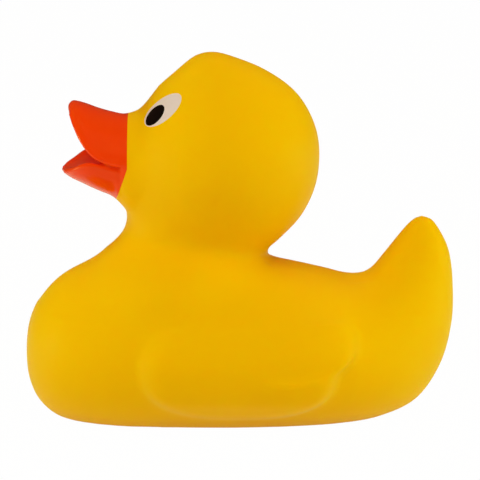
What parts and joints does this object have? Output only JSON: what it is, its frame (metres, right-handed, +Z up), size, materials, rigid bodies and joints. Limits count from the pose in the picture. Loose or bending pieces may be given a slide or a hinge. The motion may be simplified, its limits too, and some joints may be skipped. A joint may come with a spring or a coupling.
{
  "type": "rubber duck",
  "caption": "Hollow soft vinyl bath duck with a flat base, open beak, moulded wings and upswept tail; squeezable and vented underneath",
  "frame": {"origin": "centre of the bounding box in plan, at the height of the flat base", "axes": "+Z is up; -X is the way the duck looks, so +X runs from the beak to the tail; Y is the width, and the duck is symmetric about Y = 0"},
  "size_m": [0.1, 0.0648, 0.0853],
  "materials": {
    "yellow_vinyl": "soft satin vinyl, yellow through, with an orange beak and black and white eyes in flat paint"
  },
  "bodies": {
    "root": {"duck": "yellow_vinyl"}
  },
  "joints": []
}
